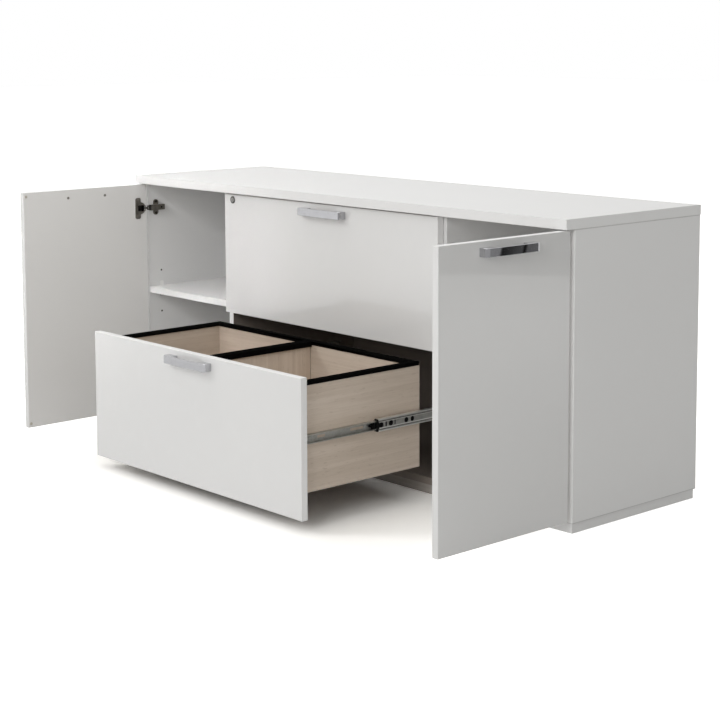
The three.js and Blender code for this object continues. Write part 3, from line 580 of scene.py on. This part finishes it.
def round_edges(piece, radius, segments, wanted):
    pick(piece, "EDGE", wanted)
    bpy.ops.mesh.bevel(offset=radius * MM, segments=segments, affect="EDGES")
    close()


def combine(piece, tool, operation):
    modifier = piece.modifiers.new("combine", "BOOLEAN")
    modifier.operation = operation
    modifier.object = tool
    bpy.context.view_layer.objects.active = piece
    bpy.ops.object.modifier_apply(modifier=modifier.name)
    bpy.data.objects.remove(tool)


def soften(piece, width, segments=2, angle=35, smooth=35):
    """Rounds every sharp edge a little. Faces that meet below the smooth angle shade as one."""
    modifier = piece.modifiers.new("soften", "BEVEL")
    modifier.width = width * MM
    modifier.segments = segments
    modifier.limit_method = "ANGLE"
    modifier.angle_limit = math.radians(angle)
    bpy.ops.object.select_all(action="DESELECT")
    piece.select_set(True)
    bpy.context.view_layer.objects.active = piece
    bpy.ops.object.modifier_apply(modifier=modifier.name)
    bpy.ops.object.shade_smooth_by_angle(angle=math.radians(smooth))


def copy_to(pattern, name, place, turn=(0, 0, 0)):
    """A copy of a pattern with a mesh of its own, turned and then set down, in millimetres."""
    bpy.ops.object.select_all(action="DESELECT")
    pattern.select_set(True)
    bpy.context.view_layer.objects.active = pattern
    bpy.ops.object.duplicate(linked=False)
    piece = bpy.context.object
    piece.name = name
    piece.rotation_euler = turn
    piece.location = [value * MM for value in place]
    bpy.ops.object.transform_apply(location=True, rotation=True, scale=True)
    return piece


def finish_piece(piece, body, material):
    piece.data.materials.clear()
    piece.data.materials.append(material)
    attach(piece, body)


def facing(side):
    """The turn that points a pattern's +Z face at +X, -X, +Y or -Y."""
    return {
        "+x": (0, math.pi / 2, 0),
        "-x": (0, -math.pi / 2, 0),
        "+y": (-math.pi / 2, 0, 0),
        "-y": (math.pi / 2, 0, 0),
    }[side]


def handle_pattern():
    """A bow handle that stands off a front at y = 0: two feet, a bowed bar and round corners."""
    half, depth = 88, 25
    handle = block("handle_pattern", (-half, -depth, -10), (half, -0.2, 10))
    bow = rod("bow", BOW_RADIUS, -12, 12, 720)
    move(bow, (0, BOW_RADIUS - depth, 0))
    combine(handle, bow, "INTERSECT")

    def outer_corner(edge):
        x, y, _ = middle(edge)
        return runs_along(2)(edge) and y < 5 - depth and abs(x) > half - 1

    round_edges(handle, 9, 10, outer_corner)
    gap = block("finger_gap", (-54, -18, -12), (54, 6, 12))
    round_edges(gap, 9, 10, lambda edge: runs_along(2)(edge) and middle(edge).y < -10)
    combine(handle, gap, "DIFFERENCE")
    soften(handle, 0.6, 1, smooth=12)
    return handle


def screw_pattern(name, radius, height):
    """A pan-head screw with a cross recess. Its head stands on the surface at z = 0."""
    head = rod(name, radius, 0, height, 32)
    pick(head, "FACE", lambda face: face.normal.z > 0.9)
    bpy.ops.mesh.inset(thickness=radius * 0.28 * MM)
    bpy.ops.transform.translate(value=(0, 0, height * 0.25 * MM))
    close()
    reach = radius * 0.55
    width = radius * 0.14
    for low, high in (((-reach, -width), (reach, width)), ((-width, -reach), (width, reach))):
        bar = block("recess", (*low, height * 0.45), (*high, height * 2))
        combine(head, bar, "DIFFERENCE")
    soften(head, radius * 0.07, 2)
    return head


def hinge_cup_pattern():
    """A cast hinge cup with two screw wings, its rim at z = 0 and its hinge edge towards +X."""
    cup = rod("hinge_cup_pattern", 17.5, -12.5, 0.5)
    rim = rod("rim", 18.3, 0.2, 1.2, 64)
    combine(cup, rim, "UNION")
    wings = block("wings", (-18.3, -32, 0.2), (1.2, 32, 1.2))
    round_edges(wings, 6, 8, runs_along(2))
    combine(cup, wings, "UNION")
    mouth = block("mouth", (-8.5, -9, -11.3), (13.5, 9, 4))
    round_edges(mouth, 3, 6, runs_along(2))
    combine(cup, mouth, "DIFFERENCE")
    combine(cup, block("notch", (9, -6, -3), (22, 6, 4)), "DIFFERENCE")
    soften(cup, 0.3, 2, 50, 50)
    return cup


def shelf_clip_pattern():
    """The clear body of a shelf clip on a wall at x = 0: a wedge under the shelf, towards +X."""
    clip = block("shelf_clip_pattern", (0.1, -7, -14), (10.8, 7, -0.3))

    def lower_front(edge):
        x, _, z = middle(edge)
        return runs_along(1)(edge) and x > 10 and z < -13

    round_edges(clip, 9, 1, lower_front)
    combine(clip, block("core", (-1, -6.3, -13), (10.4, 6.3, 1)), "DIFFERENCE")
    soften(clip, 0.25, 2)
    return clip


def shelf_catch_pattern():
    """The clip's catch above the shelf, on a wall at x = 0: a rounded tongue over the board."""
    catch = block("shelf_catch_pattern", (0.1, -6, 0.3), (3, 6, 14))
    round_edges(catch, 4.5, 6, lambda edge: runs_along(0)(edge) and middle(edge).z > 10)
    pick(catch, "FACE", lambda face: face.normal.x > 0.9)
    bpy.ops.mesh.inset(thickness=1.2 * MM)
    bpy.ops.transform.translate(value=(-0.9 * MM, 0, 0))
    close()
    lip = block("lip", (0.1, -4, 0.3), (6.5, 4, 2.3))
    round_edges(lip, 1.5, 4, lambda edge: runs_along(2)(edge) and middle(edge).x > 5)
    combine(catch, lip, "UNION")
    soften(catch, 0.3, 2)
    return catch


def bumper_pattern():
    """A stick-on bumper dot that stands on the surface at z = 0."""
    dot = rod("bumper_pattern", 4, 0, 1.5, 32)
    round_edges(dot, 1.0, 4, lambda edge: middle(edge).z > 1.4 and not runs_along(2)(edge))
    soften(dot, 0.08, 1, 50, 50)
    return dot


def end_stop_pattern():
    """The black stop on a middle member, seen along Y: a C that leaves the drawer member free."""
    stop = block("end_stop_pattern", (-11.4, -3.0, -15.4), (0, 3.5, 15.4))
    combine(stop, block("passage", (-14, -6, -11.5), (-1.6, 8, 11.5)), "DIFFERENCE")
    soften(stop, 0.4, 2)
    return stop


def file_rail_pattern():
    """The file-rail frame: a thick cap on the wood's top at z = 0, with skirts on the wood.

    The drawer front's rear is at y = 0.
    """
    low, high = -3.2, 6.4  # of the rails along the sides and the back
    side, side_half, side_end = 402.5, 9, 388.5  # middle of a side rail, half its width, its end
    centre_half, centre_end, centre_low = 14.5, 372, -8
    wood_half, wood_top = 6.8, 0.2
    rails = block("file_rail_pattern", (-411.5, 370.5, low), (411.5, side_end, high))
    for x, half, end, skirt in (
        (-side, side_half, side_end, low),
        (side, side_half, side_end, low),
        (0, centre_half, centre_end, centre_low),
    ):
        combine(rails, block("rail", (x - half, 6, skirt), (x + half, end, high)), "UNION")
    for x, end in ((-side, 386.3), (side, 386.3), (0, 379.5)):
        slot = block("wood_slot", (x - wood_half, 0, low - 9), (x + wood_half, end, wood_top))
        combine(rails, slot, "DIFFERENCE")
    slot = block("wood_slot", (-409.3, 372.7, low - 5), (409.3, 386.3, wood_top))
    combine(rails, slot, "DIFFERENCE")
    groove = block("file_groove", (-1.5, 0, high - 1.5), (1.5, 366, high + 5))
    combine(rails, groove, "DIFFERENCE")
    soften(rails, 0.5, 2)
    return rails


def dress_boards():
    for node in ("base_board", "left_shelf", "right_shelf", "left_end_panel", "right_end_panel"):
        dress(melamine(node), node)
    for node in ("left_divider", "right_divider"):
        dress(melamine(node, divider_bay_shade), node)
    dress(melamine("top_panel", ceiling_bay_shade), "top_panel")
    dress(melamine("bottom_panel", bay_shade_mask), "bottom_panel")
    dress(melamine("back_panel", back_bay_shade), "back_panel")
    dress(lacquer("right_door", 0, DOOR_INNER_X, -1), "right_door")
    dress(lacquer("left_door", 0, -DOOR_INNER_X, 1), "left_door")
    for level, rear in DRAWER_REAR_OF_FRONT.items():
        dress(lacquer(level + "_drawer_front", 1, rear, 1), level + "_drawer_front")
        for board, along, tint in (
            ("box_left_side", 1, 0.88),
            ("box_right_side", 1, 1.08),
            ("box_partition", 2, 1.14),
            ("box_back", 0, 0.96),
            ("box_bottom", 0, 1.0),
        ):
            dress(birch(f"{level}_{board}", along, tint), f"{level}_{board}")


def dress_hardware(zinc, nickel):
    lever = black_plastic("black_lever", 0.004)
    arm = nickel_plate("nickel_arm", shaded_end_to=CARCASS_FRONT_Y + 2.5)
    beaded = {level: zinc_steel(level + "_beaded_zinc", z) for level, z in RUNNER_LEVELS.items()}
    for level in ("upper", "lower"):
        for hand in ("left", "right"):
            dress(lever, f"{level}_{hand}_release_lever")
            dress(zinc, f"{level}_{hand}_cabinet_member", f"{level}_{hand}_drawer_member")
            dress(beaded[level], f"{level}_{hand}_middle_member")
            dress(arm, f"{hand}_{level}_hinge_arm")
            dress(nickel, f"{hand}_{level}_hinge_link", f"{hand}_{level}_hinge_cup")
    dress(lock_metal("lock_barrel_metal", 0.08, 0.18), "lock_barrel")
    dress(lock_metal("lock_plug_metal", 0.28, 0.5), "lock_plug")


def fit_file_rails():
    pattern = file_rail_pattern()
    material = black_plastic("black_file_rail", 0.003, 0.02, 1.04)
    for level, y in DRAWER_REAR_OF_FRONT.items():
        rails = copy_to(pattern, level + "_rail_frame", (0, y, BOX_TOP[level]))
        finish_piece(rails, level + "_drawer", material)
        dress(material, level + "_file_rails")
        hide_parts(level + "_file_rails")
    bpy.data.objects.remove(pattern)


def fit_handles():
    pattern = handle_pattern()
    across = satin_handle("satin_chrome_across", 0)
    deep = satin_handle("satin_chrome_deep", 1)
    quarter = math.pi / 2
    for name, place, turn, material in (
        ("upper_drawer", (0, UPPER_FRONT_Y, UPPER_HANDLE_Z), 0, across),
        ("lower_drawer", (0, LOWER_FRONT_Y, LOWER_HANDLE_Z), 0, across),
        ("right_door", (DOOR_OUTER_X, DOOR_HANDLE_Y, UPPER_HANDLE_Z), quarter, deep),
        ("left_door", (-DOOR_OUTER_X, DOOR_HANDLE_Y, UPPER_HANDLE_Z), -quarter, deep),
    ):
        handle = copy_to(pattern, name + "_bow_handle", place, (0, 0, turn))
        finish_piece(handle, name, material)
        dress(material, name + "_handle")
        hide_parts(name + "_handle")
    bpy.data.objects.remove(pattern)


def fit_hinges(nickel):
    cup = hinge_cup_pattern()
    wing_screw = screw_pattern("wing_screw_pattern", 3.6, 1.6)
    plate_screw = screw_pattern("plate_screw_pattern", 4.2, 2.0)
    arm_screw = screw_pattern("arm_screw_pattern", 3.4, 1.2)
    arm_cam = screw_pattern("arm_cam_pattern", 2.5, 2.5)
    black = black_plastic("black_arm_cam", 0.004)
    hollow = nickel_plate("nickel_cup", DOOR_INNER_X + 0.6)
    browned = browned_steel()
    for hand, way, side in (("right", 1, "-x"), ("left", -1, "+x")):
        door = hand + "_door"
        for level, z in HINGE_LEVELS.items():
            seat = copy_to(cup, f"{hand}_{level}_hinge_seat", (0, 0, 0), facing(side))
            turn_about(seat, way)
            move(seat, (way * DOOR_INNER_X, CUP_Y, z))
            finish_piece(seat, door, hollow)
            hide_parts(f"{hand}_{level}_hinge_cup")
            for step, word in ((-1, "low"), (1, "high")):
                x = way * (DOOR_INNER_X - 1.2)
                screw = copy_to(wing_screw, f"{hand}_{level}_wing_screw_{word}",
                                (x, CUP_Y - 9, z + step * 26), facing(side))
                finish_piece(screw, door, nickel)
                x = way * (PANEL_INNER_X - 2.7)
                screw = copy_to(plate_screw, f"{hand}_{level}_plate_screw_{word}",
                                (x, CARCASS_FRONT_Y + 26.5, z + step * 17.5), facing(side))
                finish_piece(screw, "carcass", browned)
            for behind, word in ((10, "front"), (26.5, "middle")):
                x = way * (PANEL_INNER_X - 12)
                screw = copy_to(arm_screw, f"{hand}_{level}_arm_screw_{word}",
                                (x, CARCASS_FRONT_Y + behind, z), facing(side))
                finish_piece(screw, "carcass", nickel)
            cam = copy_to(arm_cam, f"{hand}_{level}_arm_cam",
                          (way * (PANEL_INNER_X - 9.7), CARCASS_FRONT_Y + 41.1, z), facing(side))
            finish_piece(cam, "carcass", black)
    for pattern in (cup, wing_screw, plate_screw, arm_screw, arm_cam):
        bpy.data.objects.remove(pattern)


def turn_about(piece, way):
    """Turns a hinge cup that faces along X until its hinge edge points to the back."""
    bpy.ops.object.select_all(action="DESELECT")
    piece.select_set(True)
    bpy.context.view_layer.objects.active = piece
    piece.rotation_euler = (-way * math.pi / 2, 0, 0)
    bpy.ops.object.transform_apply(location=True, rotation=True, scale=True)


def move(piece, place):
    bpy.ops.object.select_all(action="DESELECT")
    piece.select_set(True)
    bpy.context.view_layer.objects.active = piece
    piece.location = [value * MM for value in place]
    bpy.ops.object.transform_apply(location=True, rotation=True, scale=True)


def fit_screws(zinc, nickel):
    pattern = screw_pattern("handle_screw_pattern", 3.8, 1.5)
    for step, word in ((-1, "front"), (1, "rear")):
        y = DOOR_HANDLE_Y + step * HANDLE_FOOT
        for hand, way, side in (("right", 1, "-x"), ("left", -1, "+x")):
            screw = copy_to(pattern, f"{hand}_door_handle_screw_{word}",
                            (way * DOOR_INNER_X, y, UPPER_HANDLE_Z), facing(side))
            finish_piece(screw, hand + "_door", nickel)
    for step, word in ((-1, "left"), (1, "right")):
        for level, z in (("upper", UPPER_HANDLE_Z), ("lower", LOWER_HANDLE_Z)):
            screw = copy_to(pattern, f"{level}_drawer_handle_screw_{word}",
                            (step * HANDLE_FOOT, DRAWER_REAR_OF_FRONT[level], z), facing("+y"))
            finish_piece(screw, level + "_drawer", nickel)
    for level, z in RUNNER_LEVELS.items():
        for hand, way, side in (("right", 1, "+x"), ("left", -1, "-x")):
            for behind, word in ((28, "first"), (38, "second"), (128, "third")):
                y = DRAWER_REAR_OF_FRONT[level] + behind
                screw = copy_to(pattern, f"{level}_{hand}_runner_screw_{word}",
                                (way * RUNNER_SCREW_X, y, z), facing(side))
                finish_piece(screw, level + "_drawer", zinc)
    fit_back_screws(pattern, zinc)
    bpy.data.objects.remove(pattern)


def fit_back_screws(pattern, zinc):
    """Screws along the top and the bottom of the back panel, and one into each divider's middle."""
    divider, edge = 437.5, 700
    columns = ((-edge, "far_left"), (-divider, "left"), (0, "middle"),
               (divider, "right"), (edge, "far_right"))
    for x, word in columns:
        for z, row in ((34.5, "low"), (380, "mid"), (712, "high")):
            if row == "mid" and abs(x) != divider:
                continue
            screw = copy_to(pattern, f"back_screw_{row}_{word}",
                            (x, BACK_FACE_Y - 1.9, z), facing("+y"))
            finish_piece(screw, "carcass", zinc)


def fit_clips(clear):
    frosted = frosted_plastic()
    clip = shelf_clip_pattern()
    catch = shelf_catch_pattern()
    for hand, way in (("right", 1), ("left", -1)):
        walls = (("outer", way * PANEL_INNER_X, -way), ("inner", way * DIVIDER_OUTER_X, way))
        for wall, x, reach in walls:
            turn = (0, 0, 0) if reach > 0 else (0, 0, math.pi)
            for y, row in zip(CLIP_ROWS, ("front", "back")):
                name = f"{hand}_{wall}_{row}"
                body = copy_to(clip, name + "_shelf_clip", (x, y, SHELF_UNDERSIDE), turn)
                finish_piece(body, "carcass", clear)
                body = copy_to(catch, name + "_shelf_catch", (x, y, SHELF_TOP), turn)
                finish_piece(body, "carcass", frosted)
    bpy.data.objects.remove(clip)
    bpy.data.objects.remove(catch)


def fit_bumpers(soft):
    pattern = bumper_pattern()
    for z, word in ((43.0, "low"), (710.0, "high")):
        for hand, way, side in (("right", 1, "-x"), ("left", -1, "+x")):
            dot = copy_to(pattern, f"{hand}_door_bumper_{word}",
                          (way * DOOR_INNER_X, DOOR_FREE_Y + 8, z), facing(side))
            finish_piece(dot, hand + "_door", soft)
    for level, z in (("upper", 714.0), ("lower", 366.5)):
        for way, word in ((-1, "left"), (1, "right")):
            dot = copy_to(pattern, f"{level}_front_bumper_{word}",
                          (way * 431, DRAWER_REAR_OF_FRONT[level], z), facing("+y"))
            finish_piece(dot, level + "_drawer", soft)
    bpy.data.objects.remove(pattern)


def ball_strip_pattern():
    """The black strip behind a middle member's web: a flat bar with a rounded tongue in front."""
    strip = block("ball_strip_pattern", (-6.5, 1, -7.8), (-5.5, 132, 7.8))
    round_edges(strip, 5, 5, lambda edge: runs_along(0)(edge) and middle(edge).y < 10)
    soften(strip, 0.2, 1)
    return strip


def fit_runner_plastics():
    black = black_plastic("black_runner_plastic", 0.004)
    strip = ball_strip_pattern()
    pattern = end_stop_pattern()
    for level, z in RUNNER_LEVELS.items():
        for hand, way in (("right", 1), ("left", -1)):
            turn = (0, 0, 0) if way > 0 else (0, math.pi, 0)
            stop = copy_to(pattern, f"{level}_{hand}_runner_stop",
                           (way * 425.4, MIDDLE_FRONT[level] - 0.6, z), turn)
            finish_piece(stop, level + "_runner_middles", black)
            bar = copy_to(strip, f"{level}_{hand}_ball_strip",
                          (way * BAY_HALF, MIDDLE_FRONT[level], z), turn)
            finish_piece(bar, level + "_runner_middles", black)
    bpy.data.objects.remove(pattern)
    bpy.data.objects.remove(strip)


# The studio
def lay_floor():
    bpy.ops.object.select_all(action="DESELECT")
    bpy.ops.mesh.primitive_plane_add(size=60, location=(0, 0, -0.0002))
    floor = bpy.context.object
    floor.name = "studio_floor"
    finish = Finish("pale_floor", {
        "Roughness": 0.7, "Specular IOR Level": 0.2, "Emission Strength": 1.0})
    light_path = finish.node("ShaderNodeLightPath").socket.node
    seen = Value(finish, light_path.outputs["Is Camera Ray"])
    mirrored = Value(finish, light_path.outputs["Is Glossy Ray"])
    mirrored = mirrored.most(Value(finish, light_path.outputs["Is Transmission Ray"]))
    x, y, _ = finish.axes()
    half_width, half_depth, middle_y = 0.66, 0.44, -0.24  # of the floor that keeps its shadow
    beside = (x.math("ABSOLUTE") - half_width).most(0.0) * 1.6
    before = ((y - middle_y).math("ABSOLUTE") - half_depth).most(0.0)
    away = (beside * beside + before * before).math("SQRT")
    far = away.rise(0.0, 0.38)
    glow = seen * 0.7 * far + mirrored * (0.1 + 0.5 * away.rise(1.0, 4.5))
    mottle = finish.noise(finish.at, 6.0, 3.0)
    colour = finish.mixed(mottle, grey(0.76), grey(0.78))
    finish.to("Base Color", finish.mixed(seen, colour, (1.36, 1.345, 1.315, 1)))
    finish.to("Emission Color", finish.mixed(glow, (0, 0, 0, 1), (1, 1, 1, 1)))
    floor.data.materials.append(finish.material)


def hang_lamp(name, place, target, size, power, spread=180):
    lamp = bpy.data.lights.new(name, "AREA")
    lamp.shape = "RECTANGLE"
    lamp.size, lamp.size_y = size
    lamp.energy = power
    lamp.spread = math.radians(spread)
    holder = bpy.data.objects.new(name, lamp)
    bpy.context.scene.collection.objects.link(holder)
    holder.location = place
    holder.rotation_euler = (Vector(target) - Vector(place)).to_track_quat("-Z", "Y").to_euler()


def glowing_paint(name):
    """A paint that glows at its own tone in whatever light."""
    return Finish(name, {
        "Base Color": (0.0, 0.0, 0.0, 1), "Specular IOR Level": 0.0, "Emission Strength": 1.0})


def stand_card():
    """A banded card that glows, behind the cabinet on the right, out of the picture, for the metal
    to show.
    """
    bpy.ops.object.select_all(action="DESELECT")
    place = (2.93, 1.76, 0.36)
    turn = math.radians(-43)
    bpy.ops.mesh.primitive_plane_add(size=1, location=place, rotation=(math.pi / 2, 0, turn))
    card = bpy.context.object
    card.name = "grey_card"
    card.scale = (1.3, 0.3, 1)
    bpy.ops.object.transform_apply(location=True, rotation=True, scale=True)
    finish = glowing_paint("grey_card_paint")
    x, y, z = finish.axes()
    along = (x - place[0]) * -math.cos(turn) + (y - place[1]) * -math.sin(turn)
    lean = (z - place[2]) * 0.8
    nap = finish.noise(finish.at, 200.0, 2.0)
    bands = finish.node("ShaderNodeValToRGB", {"stops": [
        (0.285, grey(0.3)), (0.303, grey(0.015)), (0.645, grey(0.1)), (0.66, grey(0.01)),
        (0.70, grey(0.01)), (0.715, grey(0.15)), (0.9, grey(0.17)),
    ]}, [along + 0.5 - lean])
    finish.to("Emission Color", bands)
    finish.to("Roughness", 0.8 + 0.1 * nap)
    card.data.materials.append(finish.material)
    card.visible_camera = False


def stand_wall():
    """A low grey wall that glows, round the front and the right, which only the metal shows."""
    bpy.ops.object.select_all(action="DESELECT")
    place = (0.9, -0.46, 0.4)
    bpy.ops.mesh.primitive_cylinder_add(
        vertices=96, radius=3.2, depth=0.74, end_fill_type="NOTHING", location=place)
    wall = bpy.context.object
    wall.name = "grey_wall"
    bpy.ops.object.transform_apply(location=True, rotation=True, scale=True)

    def spare(face):
        x, y, _ = face.calc_center_median()
        turn = math.degrees(math.atan2(y - place[1], x - place[0]))
        return not -132 < turn < 40

    pick(wall, "FACE", spare)
    bpy.ops.mesh.delete(type="FACE")
    close()
    finish = glowing_paint("grey_wall_paint")
    nap = finish.noise(finish.at, 3.0, 2.0)
    finish.to("Emission Color", finish.mixed(nap, grey(0.42), grey(0.52)))
    wall.data.materials.append(finish.material)
    wall.visible_camera = False
    wall.visible_diffuse = False
    wall.visible_shadow = False


def light_room():
    hang_lamp("overhead_softbox", (-0.3, -0.7, 3.4), (0, -0.2, 0.4), (3.0, 2.6), 33)
    hang_lamp("key_softbox", (-2.9, -4.0, 3.6), (0, -0.4, 0.4), (1.4, 1.4), 72)
    hang_lamp("front_softbox", (2.0, -5.0, 2.4), (-0.2, -0.2, 0.4), (2.4, 1.6), 70)
    hang_lamp("right_fill", (4.6, -1.6, 2.0), (0.3, -0.2, 0.4), (2.4, 2.2), 11)
    hang_lamp("rear_fill", (0.6, 4.8, 2.4), (0, 0, 0.4), (3.0, 2.0), 22)
    hang_lamp("compartment_spot", (0.2, -4.2, 2.9), (-0.7, -0.15, 0.42), (0.5, 0.5), 0.54, 13)
    fill_air()


def fill_air():
    """Soft even light from all round, which shows as white where it is seen or mirrored."""
    world = bpy.data.worlds.new("studio_air")
    bpy.context.scene.world = world
    world.use_nodes = True
    nodes, links = world.node_tree.nodes, world.node_tree.links
    path = nodes.new("ShaderNodeLightPath")
    either = nodes.new("ShaderNodeMath")
    either.operation = "MAXIMUM"
    links.new(path.outputs["Is Camera Ray"], either.inputs[0])
    links.new(path.outputs["Is Transmission Ray"], either.inputs[1])
    any_seen = nodes.new("ShaderNodeMath")
    any_seen.operation = "MAXIMUM"
    links.new(either.outputs[0], any_seen.inputs[0])
    links.new(path.outputs["Is Glossy Ray"], any_seen.inputs[1])
    tone = nodes.new("ShaderNodeMix")
    tone.data_type = "RGBA"
    tone.inputs[6].default_value = (0.37, 0.369, 0.358, 1)
    tone.inputs[7].default_value = (1, 1, 1, 1)
    links.new(any_seen.outputs[0], tone.inputs[0])
    links.new(tone.outputs[2], nodes["Background"].inputs["Color"])


def place_camera():
    lens = bpy.data.cameras.new("photo_camera")
    camera = bpy.data.objects.new("photo_camera", lens)
    bpy.context.scene.collection.objects.link(camera)
    lens.lens = 85.35
    lens.sensor_width = 36
    lens.shift_y = -0.2
    lens.clip_end = 100
    camera.location = (3.457, -3.224, 1.176)
    camera.rotation_euler = (math.radians(90 - 6.09), math.radians(0.18), math.radians(48.12))
    bpy.context.scene.camera = camera


def build():
    zinc = zinc_steel("zinc_plated_steel")
    nickel = nickel_plate("nickel_plated_steel")
    dress_boards()
    dress_hardware(zinc, nickel)
    fit_file_rails()
    fit_handles()
    fit_hinges(nickel)
    fit_screws(zinc, nickel)
    fit_clips(clear_plastic())
    fit_bumpers(soft_bumper())
    fit_runner_plastics()


place_camera()
build()
lay_floor()
stand_card()
stand_wall()
light_room()
bpy.context.scene.view_settings.view_transform = "Standard"
